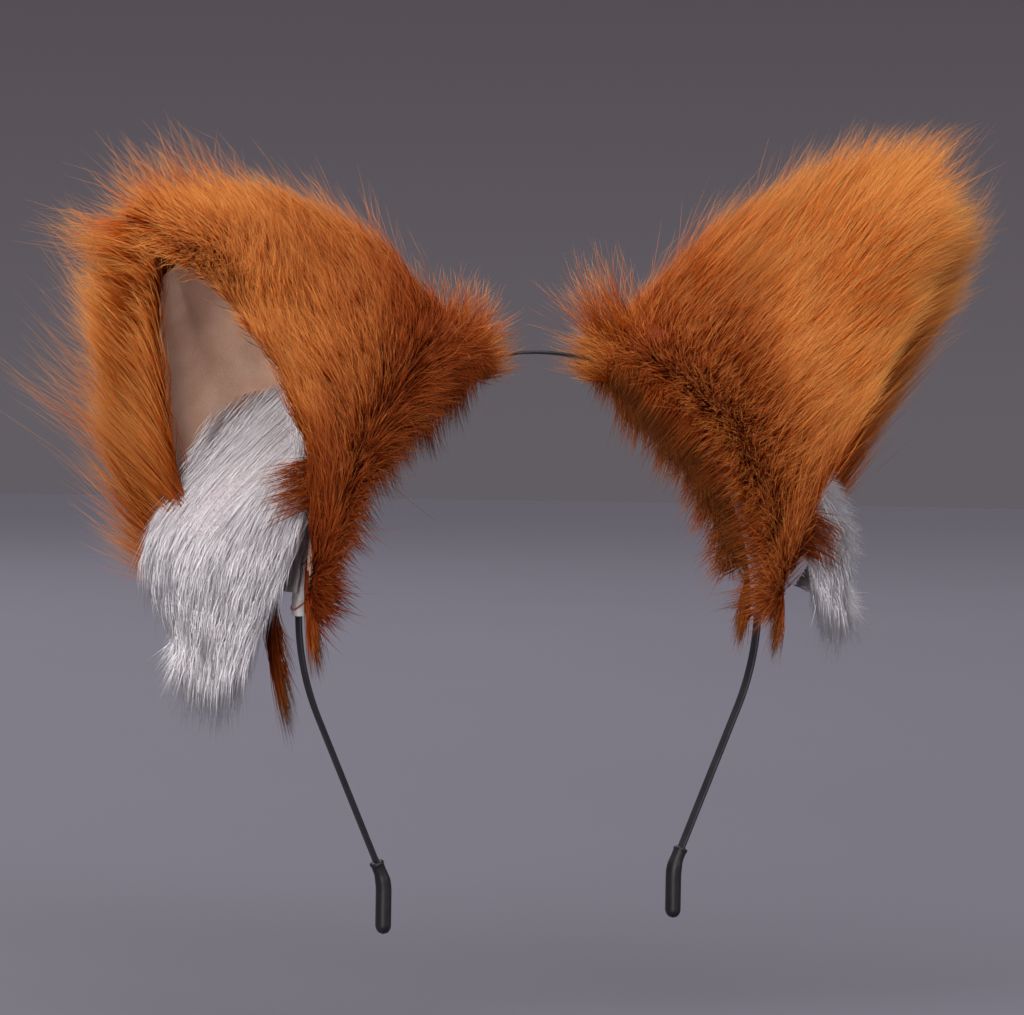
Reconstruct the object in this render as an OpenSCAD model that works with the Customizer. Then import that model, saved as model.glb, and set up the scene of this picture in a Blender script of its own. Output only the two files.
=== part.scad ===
// Animal ears headband: a springy flat band over the head, with two furry ears sewn to
// fabric sleeves on it. X is left to right, Y runs from the front to the back of the head
// and Z is up. The origin is the centre of the band's crown arc. Turns on the band are in
// degrees from its top towards either side.

/* [Headband] */
// Radius of the crown arc, to the middle of the strip
band_r = 64.8; // [63.8:0.2:65.8]
// Turn from the top at which each arm leaves the arc and runs straight
arc_end = 114; // [108:1:118]
// Length of each straight arm that shows above its tip
arm_len = 39.8; // [30:0.2:50]
// Width of the strip, front to back
band_w = 3.2; // [2.8:0.1:3.6]
// Thickness of the strip
band_t = 0.9; // [0.7:0.1:1]
// Turn from the top at which the strip is taken to flex
flex_turn = 9; // [8:1:10]

/* [Rubber tips] */
// Length of the strip that is pushed into each tip
tip_grip = 5; // [4:0.5:6]
// Length of the part of each tip that hangs straight down
tip_drop = 11; // [8:0.5:14]
// Width of a tip, front to back
tip_w = 4.6; // [4.4:0.1:5.2]
// Thickness of a tip
tip_t = 3.6; // [3.2:0.1:4.2]

/* [Fabric sleeves] */
// Turn at which each sleeve starts
sleeve_start = 16; // [15:1:18]
// Turn at which each sleeve ends, below the ear
sleeve_end = 91; // [89:1:94]
// Outer width of a sleeve, front to back
sleeve_w = 4.8; // [4.6:0.1:5]
// Outer thickness of a sleeve
sleeve_t = 2.9; // [2.7:0.1:3]
// Thickness of the sleeve's fabric
sleeve_wall = 0.6; // [0.4:0.1:0.7]
// Number of whip stitches that bind each ear to its sleeve
stitches = 8; // [4:1:12]

/* [Ears] */
// Distance of the ear's backing tip from the middle of the head
ear_out = 102; // [98:1:106]
// Height of the ear's backing tip above the centre of the crown arc
ear_up = 102; // [98:1:106]
// How far the hair reaches past the backing at the tip, to the side
tip_hair = 19; // [14:1:22]
// How far the hair in front of and behind the band hangs below its middle
hem_drop = 1.3; // [0:0.1:3]

/* [Hidden] */
$fn = 96;

flex_gap = 0.3;        // slit between the crown strip and each half of the band
stitch_t = 0.3;        // thickness of the sewing thread
stitch_turn = 0.5;     // turn that one stitch covers
strip_lift = 2.1;      // underside of the base strip, above the middle of the band
strip_t = 0.9;         // thickness of the base strip
strip_w = 8.6;         // width of the base strip, front to back
strip_turns = [23, 86];
ear_turns = [16.4, 90];
seam_lift = 2.4;       // lower edge of the ear's backing, above the middle of the band
hem_y = 18;            // how far the hanging hair stands in front of and behind the band
across = 12;           // steps across a panel
along = 9;             // steps from the base of an ear to its tip
ridge_seam = 0.015;    // the seam allowance between the two panels, along the ridge
panel_top = 0.97;      // panels stop just short of the tip, where they would close to a line
inner_foot = 0.04;     // the felt core and the lining start this far up the ear
core_across = [0.02, 0.92];    // reach of the felt core, from the ridge to the back edge
core_top = 0.86;
core_ridge = 0.08;     // how far inside the ridge the felt core turns
core_faces = [0.1, 0.17];      // its two faces, as shares of the way across the mouth
liner_across = [-0.95, 0.96];  // reach of the lining, from the front edge to the back one
liner_top = 0.88;
liner_ridge = [0.13, 0.17];    // how far inside the ridge its two faces turn
liner_faces = [0.21, 0.3];     // its two faces, as shares of the way across the mouth

// A point at a turn of the band, lifted off its middle line, at a depth y
function on_band(turn, lift, y) =
    [(band_r + lift) * sin(turn), y, (band_r + lift) * cos(turn)];

backing_tip = [ear_out, -4, ear_up];
hair_tip = backing_tip + [tip_hair, -2, tip_hair - 5];

// The right ear's two surfaces, the backing and the tips of the hair. Each is a net of
// curves from the base to the tip: the ridge, then the two bulge curves and the free edge
// of the front panel, then the same of the back panel. The last number is half the width
// of the ridge.
BACKING = [
    [on_band(ear_turns[0], seam_lift, 0), [38, 0, 74], [70, 0, 102], backing_tip],
    [[46, -10, 62], [38, -29, 78], backing_tip],
    [[70, -8, 34], [42, -42, 56], backing_tip],
    [on_band(ear_turns[1], 1.2, -7), [66, -24, 28], [68, -28, 62], backing_tip],
    [[46, 10, 62], [46, 37, 86], backing_tip],
    [[70, 8, 34], [74, 58, 56], backing_tip],
    [[68, 10, -4], [90, 34, 10], [102, 10, 66], backing_tip],
    9];
HAIR = [
    [on_band(10.5, 3, 0), [34, 0, 88], [70, 0, 114], hair_tip],
    [on_band(34, 0, -hem_y), [23, -47, 85], hair_tip],
    [on_band(62, -hem_drop, -hem_y), [33, -61, 54], hair_tip],
    [[64, -14, -14], [70, -34, 26], [74, -38, 64], hair_tip],
    [on_band(34, 0, hem_y), [39, 62, 105], hair_tip],
    [on_band(64, -hem_drop, hem_y), [88, 85, 70], hair_tip],
    [[80, 26, -18], [118, 46, 20], [134, 22, 84], hair_tip],
    14];

// Bezier curve through its first and last points, at t from 0 to 1
function bezier(points, t) =
    len(points) == 1 ? points[0] :
    bezier([for (i = [0:len(points) - 2]) points[i] * (1 - t) + points[i + 1] * t], t);

// A net's point: s is -1 on the free edge of the front panel, 0 on the ridge and 1 on the
// free edge of the back panel; t is 0 at the base and 1 at the tip
function net_point(net, s, t) =
    let (
        side = s < 0 ? -1 : 1,
        first = s < 0 ? 1 : 4,
        ridge = bezier(net[0], t),
        shoulder = ridge + [0, side * net[7] * (1 - t), 0]
    )
    bezier([ridge, shoulder, for (k = [0:2]) bezier(net[first + k], t)], abs(s));

// The backing drawn in by a share k towards the middle of the ear, with its ridge moved
// in by the same kind of step: linings nest inside the backing this way
function inner_point(k, ridge_in, s, t) =
    let (
        side = s < 0 ? -1 : 1,
        a = ridge_in + (1 - ridge_in) * abs(s),
        own = net_point(BACKING, side * a, t),
        other = net_point(BACKING, -side * a, t)
    )
    own * (1 - k / 2) + other * k / 2;

function steps(low, high, n) = [for (i = [0:n]) low + (high - low) * i / n];
function net_grid(net, low, high) =
    [for (s = steps(low, high, across)) [for (t = steps(0, panel_top, along))
        net_point(net, s, t)]];
function inner_grid(k, ridge_in, reach, top) =
    [for (s = steps(reach[0], reach[1], across * 2)) [for (t = steps(inner_foot, top, along))
        inner_point(k, ridge_in, s, t)]];

// A closed solid between two grids of points of the same size
module between(outer, inner) {
    n = len(outer);
    m = len(outer[0]);
    top = n * m;
    quads = concat(
        [for (i = [0:n - 2], j = [0:m - 2])
            [i * m + j, i * m + j + 1, (i + 1) * m + j + 1, (i + 1) * m + j]],
        [for (i = [0:n - 2], j = [0:m - 2])
            top * [1, 1, 1, 1] + [(i + 1) * m + j, (i + 1) * m + j + 1, i * m + j + 1, i * m + j]],
        [for (i = [0:n - 2])
            [i * m, (i + 1) * m, top + (i + 1) * m, top + i * m]],
        [for (i = [0:n - 2])
            [top + i * m + m - 1, top + (i + 1) * m + m - 1, (i + 1) * m + m - 1, i * m + m - 1]],
        [for (j = [0:m - 2])
            [top + j, top + j + 1, j + 1, j]],
        [for (j = [0:m - 2])
            [(n - 1) * m + j, (n - 1) * m + j + 1, top + (n - 1) * m + j + 1, top + (n - 1) * m + j]]);
    polyhedron(
        concat([for (row = outer) each row], [for (row = inner) each row]),
        [for (q = quads) each [[q[2], q[1], q[0]], [q[3], q[2], q[0]]]]);
}

// The left side mirrors the right
module on_side(side) {
    if (side == "left") mirror([1, 0, 0]) children();
    else children();
}

// Sweeps a flat outline, thickness along x and width along y, round the crown arc
module round_crown(from, to) {
    rotate([90, 0, 0])
        rotate([0, 0, 90 - to])
            rotate_extrude(angle = to - from)
                translate([band_r, 0]) children();
}

// A flat outline with round edges
module stadium(thick, wide) {
    square([thick, wide - thick], center = true);
    for (end = [-1, 1])
        translate([0, end * (wide - thick) / 2]) circle(d = thick);
}

// Places things at the top of the straight arm, with -z running down it
module at_arm() {
    translate(on_band(arc_end, 0, 0)) rotate([0, arc_end - 90, 0]) children();
}

module strip_section() { square([band_t, band_w], center = true); }

module crown_strip() {
    half = flex_turn - asin(flex_gap / 2 / band_r);
    color("#15131a") round_crown(-half, half) strip_section();
}

module half_band_shape() {
    round_crown(flex_turn + asin(flex_gap / 2 / band_r), arc_end) strip_section();
    at_arm()
        translate([0, 0, -arm_len - tip_grip])
            linear_extrude(arm_len + tip_grip) strip_section();
}
module half_band(side) { color("#15131a") on_side(side) half_band_shape(); }

// One end of a tip's limb: a ball flattened to the tip's thickness
module tip_knuckle() { scale([tip_t / tip_w, 1, 1]) sphere(d = tip_w, $fn = 24); }

// The point where a tip bends from the slant of the arm to the vertical
tip_bend = on_band(arc_end, 0, 0) + (arm_len + tip_grip) * [cos(arc_end), 0, -sin(arc_end)];
module rubber_tip(side) {
    start = tip_bend - (tip_grip - tip_w / 2) * [cos(arc_end), 0, -sin(arc_end)];
    color("#0e0b10") on_side(side) difference() {
        hull() {
            translate(start) tip_knuckle();
            translate(tip_bend) tip_knuckle();
            translate(tip_bend - [0, 0, tip_drop]) tip_knuckle();
        }
        at_arm()
            translate([0, 0, -arm_len - tip_grip])
                linear_extrude(2 * tip_grip) strip_section();
    }
}

module sleeve(side) {
    color("#d8d2d0") on_side(side) round_crown(sleeve_start, sleeve_end) difference() {
        stadium(sleeve_t, sleeve_w);
        stadium(sleeve_t - 2 * sleeve_wall, sleeve_w - 2 * sleeve_wall);
    }
}

module sleeve_stitches(side) {
    color("#a8553a") on_side(side)
        for (turn = steps(strip_turns[0], sleeve_end - 3, stitches - 1))
            round_crown(turn, turn + stitch_turn) difference() {
                stadium(sleeve_t + 2 * stitch_t, sleeve_w + 2 * stitch_t);
                stadium(sleeve_t, sleeve_w);
            }
}

module base_strip(side) {
    color("#b9a79a") on_side(side) round_crown(strip_turns[0], strip_turns[1])
        translate([strip_lift + strip_t / 2, 0]) square([strip_t, strip_w], center = true);
}

// The pile of a panel, from its backing to the tips of its hair
module fur_panel(low, high) {
    between(net_grid(HAIR, low, high), net_grid(BACKING, low, high));
}

module fur_back(side) {
    color("#b8601e") on_side(side) fur_panel(ridge_seam, 1);
}

module fur_front(side) {
    color("#c87a30") on_side(side) fur_panel(-1, -ridge_seam);
}

module felt_core(side) {
    color("#8a7a6c") on_side(side)
        between(inner_grid(core_faces[0], core_ridge, core_across, core_top),
                inner_grid(core_faces[1], core_ridge, core_across, core_top));
}

module velvet_liner(side) {
    color("#c8bcc0") on_side(side)
        between(inner_grid(liner_faces[0], liner_ridge[0], liner_across, liner_top),
                inner_grid(liner_faces[1], liner_ridge[1], liner_across, liner_top));
}

// The tuft's grid: p runs from the front free edge to the back one, q from its top down
// to the hanging ends, and depth is how far the layer lies inside the mouth of the ear
tuft_top = 0.5;        // how far up the ear the tuft is sewn in
tuft_foot = 0.02;
tuft_half = 0.32;      // half its width, as a share of the mouth
tuft_swell = 5;        // how far its middle stands out
tuft_deep = 9;         // depth of its inner face
tuft_thinning = 0.75;  // share of that depth that it loses towards the hanging ends
tuft_curl = 170;       // turn of the wave that flares its back edge
tuft_drop = 1.6;       // power of the curve in which it hangs
tuft_out = [0.8, -0.35, -0.3];
tuft_hang = [14, 8, -26];
tuft_flare = [8, 3, 1];
function tuft_point(p, q, depth) =
    let (
        t = tuft_top * (1 - q) + tuft_foot * q,
        front = net_point(BACKING, -1, t),
        back = net_point(BACKING, 1, t)
    )
    (front + back) / 2 + tuft_half * p * (back - front)
    + (p + 1) * sin(tuft_curl * q) * tuft_flare
    + tuft_out * (tuft_swell * (1 - p * p) - depth * (1 - tuft_thinning * q))
    + pow(q, tuft_drop) * tuft_hang;
function tuft_grid(depth) =
    [for (p = steps(-1, 1, across)) [for (q = steps(0, 1, along)) tuft_point(p, q, depth)]];
module white_tuft(side) {
    color("#cfc6cc") on_side(side) between(tuft_grid(0), tuft_grid(tuft_deep));
}

crown_strip();
half_band("left");  // band_left
half_band("right");  // band_right
rubber_tip("left");  // tip_left
rubber_tip("right");  // tip_right
sleeve("left");  // sleeve_left
sleeve("right");  // sleeve_right
sleeve_stitches("left");  // sleeve_stitches_left
sleeve_stitches("right");  // sleeve_stitches_right
base_strip("left");  // base_strip_left
base_strip("right");  // base_strip_right
felt_core("left");  // felt_core_left
felt_core("right");  // felt_core_right
fur_back("left");  // fur_back_left
fur_back("right");  // fur_back_right
fur_front("left");  // fur_front_left
fur_front("right");  // fur_front_right
velvet_liner("left");  // velvet_liner_left
velvet_liner("right");  // velvet_liner_right
white_tuft("left");  // white_tuft_left
white_tuft("right");  // white_tuft_right
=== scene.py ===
# Animal ears headband: a springy black strip with rubber ends, and two long-furred ears
# that are sewn to fabric sleeves on it. The sections follow it as it is put together.
# Sizes are in millimetres until place_mesh puts them into a mesh, in metres.
from math import comb

import bpy
import numpy as np
from mathutils import Matrix, Vector


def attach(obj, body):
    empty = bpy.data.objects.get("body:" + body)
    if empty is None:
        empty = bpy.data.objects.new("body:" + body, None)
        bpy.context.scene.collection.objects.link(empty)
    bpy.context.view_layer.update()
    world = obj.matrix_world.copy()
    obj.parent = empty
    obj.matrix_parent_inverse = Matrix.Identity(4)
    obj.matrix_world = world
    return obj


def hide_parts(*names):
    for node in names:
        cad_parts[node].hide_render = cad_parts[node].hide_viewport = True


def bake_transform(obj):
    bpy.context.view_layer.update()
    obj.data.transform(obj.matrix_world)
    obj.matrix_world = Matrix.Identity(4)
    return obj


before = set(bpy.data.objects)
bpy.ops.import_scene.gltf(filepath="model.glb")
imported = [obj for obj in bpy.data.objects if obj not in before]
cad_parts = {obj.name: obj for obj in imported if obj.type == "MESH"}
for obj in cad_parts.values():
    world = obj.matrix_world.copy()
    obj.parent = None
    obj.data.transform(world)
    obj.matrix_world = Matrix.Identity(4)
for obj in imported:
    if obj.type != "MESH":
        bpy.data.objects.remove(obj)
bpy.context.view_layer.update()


# ---------------------------------------------------------------------------------------
# Studio. A plain pale floor under a plain grey backdrop, lit by a broad overhead light,
# two large soft boxes in front and a narrow one behind that catches the ends of the hair.

AZIMUTH, ELEVATION, ROLL = np.radians([-26.0, 1.42, 0.88])
CAMERA_AWAY = 0.864
CAMERA_SHIFT = (-0.00602, 0.02557)

back = np.array([np.sin(AZIMUTH) * np.cos(ELEVATION),
                 -np.cos(AZIMUTH) * np.cos(ELEVATION), np.sin(ELEVATION)])
level = np.array([np.cos(AZIMUTH), np.sin(AZIMUTH), 0.0])
plumb = np.cross(back, level)
right = level * np.cos(ROLL) + plumb * np.sin(ROLL)
up = plumb * np.cos(ROLL) - level * np.sin(ROLL)
camera = bpy.data.objects.new("studio_camera", bpy.data.cameras.new("studio_camera"))
camera.data.lens = 120
camera.data.sensor_width = 36
camera.data.clip_end = 40
camera_turn = Matrix(np.column_stack([right, up, back]).tolist()).to_4x4()
camera_place = Vector(back * CAMERA_AWAY + right * CAMERA_SHIFT[0] + up * CAMERA_SHIFT[1])
camera.matrix_world = Matrix.Translation(camera_place) @ camera_turn
bpy.context.scene.collection.objects.link(camera)
bpy.context.scene.camera = camera
bpy.context.scene.view_settings.view_transform = "Standard"

MM = 0.001


def tint(code):
    """The linear colour of a hex code: ((c + 0.055) / 1.055) ** 2.4 above 0.04045."""
    c = np.array([int(code[i:i + 2], 16) for i in (1, 3, 5)]) / 255
    return (*np.where(c > 0.04045, ((c + 0.055) / 1.055) ** 2.4, c / 12.92), 1.0)


class Level:
    """One node's socket. + * and ** on it add Math nodes to the shading that it is in."""

    def __init__(self, shading, socket):
        self.shading = shading
        self.socket = socket

    def _maths(self, operation, first, second):
        return self.shading.node("ShaderNodeMath", {"operation": operation},
                                 {0: first, 1: second})

    def __add__(self, other):
        return self._maths("ADD", self, other)

    def __radd__(self, other):
        return self._maths("ADD", other, self)

    def __mul__(self, other):
        return self._maths("MULTIPLY", self, other)

    def __rmul__(self, other):
        return self._maths("MULTIPLY", other, self)

    def __pow__(self, other):
        return self._maths("POWER", self, other)


class Shading:
    """The nodes of a material or of the backdrop, and the shader that they feed."""

    def __init__(self, owner, shader):
        owner.use_nodes = True
        self.tree = owner.node_tree
        self.shader = self.tree.nodes[shader]

    def node(self, kind, settings=None, inputs=None, output=0):
        """Adds a node of this type, sets it up, then gives its sockets values or links."""
        made = self.tree.nodes.new(kind)
        for name, value in (settings or {}).items():
            if name == "stops":
                while len(made.color_ramp.elements) < len(value):
                    made.color_ramp.elements.new(1.0)
                for element, (place, colour) in zip(made.color_ramp.elements, value):
                    element.position = place
                    element.color = colour
            else:
                setattr(made, name, value)
        for name, value in (inputs or {}).items():
            if isinstance(value, Level):
                self.tree.links.new(value.socket, made.inputs[name])
            else:
                made.inputs[name].default_value = value
        return Level(self, made.outputs[output])

    def ramp(self, value, *stops):
        """The colours, given as hex codes, at these places, and blends between them."""
        stops = [(place, tint(code)) for place, code in stops]
        return self.node("ShaderNodeValToRGB", {"stops": stops}, {0: value})

    def feed(self, socket, level):
        self.tree.links.new(level.socket, self.shader.inputs[socket])


class Finish(Shading):
    """One material: a Principled shader, its steady values and the nodes that feed it."""

    def __init__(self, name, **steady):
        self.material = bpy.data.materials.new(name)
        super().__init__(self.material, "Principled BSDF")
        for socket, value in steady.items():
            self.shader.inputs[socket.replace("_", " ")].default_value = value

    def place(self):
        """Object coordinates, in metres."""
        return self.node("ShaderNodeTexCoord", output="Object")

    def noise(self, scale, detail=3.0):
        """Cloudy noise, 0 to 1, with this many spots to the metre."""
        return self.node("ShaderNodeTexNoise", None,
                         {"Vector": self.place(), "Scale": scale, "Detail": detail})

    def mix(self, share, first, second):
        """first where share is 0, second where it is 1."""
        return self.node("ShaderNodeMix", {"data_type": "RGBA"},
                         {0: share, 6: first, 7: second}, output=2)

    def bump(self, height, distance):
        """Raises the surface where height is 1, by this distance in millimetres."""
        raised = self.node("ShaderNodeBump", None,
                           {"Height": height, "Distance": distance * MM, "Strength": 1.0})
        self.feed("Normal", raised)

    def weave(self, fibres, dark, light, height):
        """Cloth or felt: dark between its fibres and light on them, which stand this high."""
        self.feed("Base Color", self.ramp(fibres, (0.3, dark), (0.7, light)))
        self.bump(fibres, height)


def place_mesh(name, points, faces, finish, uv=None):
    """A smooth object of these points, in millimetres, and triangles."""
    mesh = bpy.data.meshes.new(name)
    mesh.vertices.add(len(points))
    mesh.vertices.foreach_set("co", (points * MM).astype(np.float32).ravel())
    mesh.loops.add(faces.size)
    mesh.loops.foreach_set("vertex_index", faces.astype(np.int32).ravel())
    mesh.polygons.add(len(faces))
    starts = np.arange(0, faces.size, 3, dtype=np.int32)
    mesh.polygons.foreach_set("loop_start", starts)
    mesh.polygons.foreach_set("use_smooth", np.ones(len(faces), bool))
    if uv is not None:
        layer = mesh.uv_layers.new(name="OFBake")
        layer.uv.foreach_set("vector", uv[faces.ravel()].astype(np.float32).ravel())
    mesh.update(calc_edges=True)
    mesh.validate()
    mesh.materials.append(finish.material)
    made = bpy.data.objects.new(name, mesh)
    bpy.context.scene.collection.objects.link(made)
    return made


FLOOR_Z = -105.0
FLOOR_REACH = 5840.0
FLOOR_SIDES = 96

floor_paint = Finish("floor_paint", Roughness=0.85)
floor_spots = floor_paint.noise(3.0)
floor_paint.feed("Base Color", floor_paint.mix(floor_spots, tint("#625f6a"), tint("#66636e")))
rim = np.linspace(0, 2 * np.pi, FLOOR_SIDES + 1)[:-1]
floor_points = np.vstack([[[0, 0, FLOOR_Z]], np.column_stack(
    [FLOOR_REACH * np.cos(rim), FLOOR_REACH * np.sin(rim), 0 * rim + FLOOR_Z])])
floor_faces = np.array([[0, 1 + i, 1 + (i + 1) % FLOOR_SIDES] for i in range(FLOOR_SIDES)])
place_mesh("studio_floor", floor_points, floor_faces, floor_paint)

bpy.context.scene.world = bpy.data.worlds.new("studio_backdrop")
backdrop = Shading(bpy.context.scene.world, "Background")
direction = backdrop.node("ShaderNodeTexCoord", output="Generated")
height = backdrop.node("ShaderNodeSeparateXYZ", None, {0: direction}, output=2)
backdrop.feed("Color", backdrop.ramp(height, (0.0, "#625d63"), (0.14, "#524b52")))


def studio_light(name, kind, place, power, **settings):
    """A lamp at this place, in metres, turned to face the middle of the headband."""
    lamp = bpy.data.lights.new(name, kind)
    lamp.energy = power
    for setting, value in settings.items():
        setattr(lamp, setting, value)
    made = bpy.data.objects.new(name, lamp)
    made.location = place
    made.rotation_euler = Vector(place).to_track_quat("Z", "Y").to_euler()
    bpy.context.scene.collection.objects.link(made)


studio_light("overhead_light", "SUN", (-0.25, -0.42, 0.95), 2.7, angle=1.1)
studio_light("right_soft_box", "AREA", (1.5, -2.4, 1.7), 34.0, shape="SQUARE", size=1.5)
studio_light("left_soft_box", "AREA", (-2.3, -2.1, 0.35), 83.0, shape="SQUARE", size=1.6)
studio_light("back_soft_box", "AREA", (-0.2, 2.3, 2.1), 34.0, shape="SQUARE", size=1.4)


# ---------------------------------------------------------------------------------------
# Headband strip. One springy flat strip of plastic with a satin black coating, bent to a
# round crown with straight arms. It is made as two halves that meet at the top, and each
# half passes into its rubber tip.

BAND_R = 64.8
ARC_END = np.radians(114)
ARM = 39.8
TIP_GRIP = 5.0
STRIP_W, STRIP_T = 3.2, 0.9
FLEX_FROM, FLEX_TO = np.radians([4, 14])
arm_way = np.array([np.cos(ARC_END), 0, -np.sin(ARC_END)])
arm_start = BAND_R * np.array([np.sin(ARC_END), 0, np.cos(ARC_END)])


def unit(v):
    """v over its own length."""
    return v / np.maximum(np.linalg.norm(v, axis=-1, keepdims=True), 1e-9)


def on_band(turn, lift=0.0, y=0.0):
    """((r + lift) sin turn, y, (r + lift) cos turn): a place by its turn from the top."""
    turn, lift, y = np.broadcast_arrays(turn, lift, y)
    return np.stack([(BAND_R + lift) * np.sin(turn), y, (BAND_R + lift) * np.cos(turn)], -1)


def rounded_outline(wide, thick, corner, count):
    """Points round a flat outline: each axis times |cos| or |sin| to the power corner."""
    a = np.linspace(0, 2 * np.pi, count, endpoint=False)
    circle = np.column_stack([np.cos(a), np.sin(a)])
    return np.array([wide / 2, thick / 2]) * (np.sign(circle) * np.abs(circle) ** corner)


def outward(points, faces):
    """The faces, turned round if the volume a . (b x c) / 6 that they enclose is negative."""
    a, b, c = points[faces[:, 0]], points[faces[:, 1]], points[faces[:, 2]]
    volume = np.sum(a * np.cross(b, c))
    return faces if volume > 0 else faces[:, ::-1]


def grid(rows, columns):
    """Every pair of a row's value and a column's, as two arrays."""
    return np.meshgrid(rows, columns, indexing="ij")


def split(quads):
    """Two triangles of each quad."""
    return np.vstack([quads[:, [0, 1, 2]], quads[:, [0, 2, 3]]])


def capped(rings):
    """Points and triangles of closed rings of points, with a fan over each end."""
    n, m = rings.shape[:2]
    i, j = grid(np.arange(n - 1), np.arange(m))
    k = (j + 1) % m
    walls = np.stack([i * m + j, i * m + k, (i + 1) * m + k, (i + 1) * m + j], -1)
    j, k = np.arange(m), (np.arange(m) + 1) % m
    ends = [np.column_stack([j * 0 + n * m, k, j]),
            np.column_stack([j * 0 + n * m + 1, (n - 1) * m + j, (n - 1) * m + k])]
    points = np.vstack([rings.reshape(-1, 3), rings[0].mean(0), rings[-1].mean(0)])
    return points, np.vstack([split(walls.reshape(-1, 4)), *ends])


def loft(path, outlines):
    """Rings of an outline (across, along the path's normal) carried along a path in the
    xz plane: path + across * y + normal * thickness, closed at both ends with a fan."""
    way = unit(np.gradient(path, axis=0))
    normal = np.column_stack([way[:, 2], 0 * way[:, 0], -way[:, 0]])
    rings = (path[:, None] + outlines[:, :, :1] * np.array([0, 1, 0])
             + outlines[:, :, 1:] * normal[:, None])
    return capped(rings)


def side_points(points, side):
    """The left side mirrors the right: (-x, y, z)."""
    return points * (np.array([-1, 1, 1]) if side == "left" else 1)


def place_side(name, side, points, faces, finish):
    """One side's object of a mirrored pair, from the right one's points and triangles."""
    points = side_points(points, side)
    return place_mesh(f"{name}_{side}", points, outward(points, faces), finish)


band_coating = Finish("band_coating", Specular_IOR_Level=0.45, Coat_Roughness=0.35)
grain = band_coating.noise(5200.0)
wear = band_coating.noise(160.0, 5.0)
band_coating.feed("Base Color", band_coating.ramp(wear, (0.35, "#16141a"), (0.7, "#241f25")))
band_coating.feed("Roughness", 0.36 + wear * 0.14 + grain * 0.06)
band_coating.bump(grain * 0.7 + wear * 0.6, 0.03)

strip_turns = np.append(0.0, np.linspace(0.0004, ARC_END, 96))
strip_arm = arm_start + np.linspace(0, ARM + TIP_GRIP - 1, 30)[1:, None] * arm_way
strip_path = np.vstack([on_band(strip_turns), strip_arm])
strip_outline = rounded_outline(STRIP_W, STRIP_T, 0.5, 24)
strip_shape, strip_faces = loft(strip_path, np.tile(strip_outline, (len(strip_path), 1, 1)))
for side in ("left", "right"):
    strip = place_side("headband_half", side, strip_shape, strip_faces, band_coating)
    bend = side_points(on_band([FLEX_FROM, FLEX_TO]), side) * MM
    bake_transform(strip)
    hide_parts(f"band_{side}", *(["crown_strip"] if side == "left" else []))


# ---------------------------------------------------------------------------------------
# Rubber tips. Moulded black rubber caps, pushed over the ends of the arms, that bend from
# the slant of the arm to hang straight down. Each has a beaded mouth and a round end.

TIP_W, TIP_T = 4.6, 3.6
TIP_DROP = 11.0
TIP_BEND = 2.6

rubber = Finish("black_rubber", Specular_IOR_Level=0.4)
rubber_grain = rubber.noise(3800.0)
rubber_dust = rubber.noise(420.0, 4.0)
rubber.feed("Base Color", rubber.mix(rubber_dust ** 2, tint("#0d0b0e"), tint("#2a262b")))
rubber.feed("Roughness", 0.38 + rubber_dust * 0.22)
rubber.bump(rubber_grain * 0.5 + rubber_dust * 0.5, 0.05)

tip_corner = arm_start + (ARM + TIP_GRIP) * arm_way
u = np.linspace(0, 1, 15)[1:-1, None]
tip_path = np.vstack([
    tip_corner - np.linspace(TIP_GRIP + 0.4, TIP_BEND, 14)[:, None] * arm_way,
    tip_corner - (1 - u) ** 2 * TIP_BEND * arm_way - u ** 2 * [0, 0, TIP_BEND],
    tip_corner - np.linspace(TIP_BEND, TIP_DROP + TIP_W / 2, 30)[:, None] * [0, 0, 1]])
run = np.concatenate([[0], np.cumsum(np.linalg.norm(np.diff(tip_path, axis=0), axis=1))])
left_over = run[-1] - run
# The share of the full section: a bead at the mouth, a waist, then the bulb's round end
tip_share = (0.84 + 0.16 / (1 + np.exp(-(run - 4.2) / 0.5))
             + 0.10 * np.exp(-((run - 0.5) / 0.45) ** 2))
tip_share *= np.sqrt(np.clip(1 - (1 - np.clip(left_over / 2.3, 0, 1)) ** 2, 0.0004, 1))
tip_share *= 1 - 0.25 * np.clip(1 - run / 0.3, 0, 1)
tip_outline = rounded_outline(TIP_W, TIP_T, 0.85, 32)
tip_shape, tip_faces = loft(tip_path, tip_share[:, None, None] * tip_outline)
for side in ("left", "right"):
    cap = place_side("rubber_tip", side, tip_shape, tip_faces, rubber)
    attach(cap, f"half_band_{side}")
    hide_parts(f"tip_{side}")


# ---------------------------------------------------------------------------------------
# Fabric sleeves. Soft off-white satin tubes on the strip, sewn shut, that the ears are
# stitched to. They slide on the strip with the ears and show below each ear.

SLEEVE_FROM, SLEEVE_TO = np.radians([16, 91])
SLEEVE_W, SLEEVE_T, SLEEVE_WALL = 4.8, 2.9, 0.55

satin = Finish("sleeve_fabric", Sheen_Weight=0.35, Sheen_Roughness=0.4)
threads = satin.node("ShaderNodeTexWave", {"bands_direction": "DIAGONAL"},
                     {"Vector": satin.place(), "Scale": 1300.0, "Distortion": 1.5,
                      "Detail": 2.0}, output=1)
satin_shade = satin.noise(260.0, 4.0)
satin.feed("Base Color", satin.ramp(
    satin_shade, (0.3, "#b9a9a8"), (0.55, "#d9cfcd"), (0.8, "#e8e0de")))
satin.feed("Roughness", 0.55 + satin_shade * 0.2)
satin.bump(threads * 0.35 + satin_shade, 0.16)


def gathers(along, round_turn):
    """Small folds of the tube: sines along it that lean as they go round, +-1."""
    return (0.55 * np.sin(along * 2.1 + 1.6 * np.sin(round_turn))
            + 0.45 * np.sin(along * 3.7 + 2.2 * np.cos(round_turn + 0.6) + 1.1))


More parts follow.
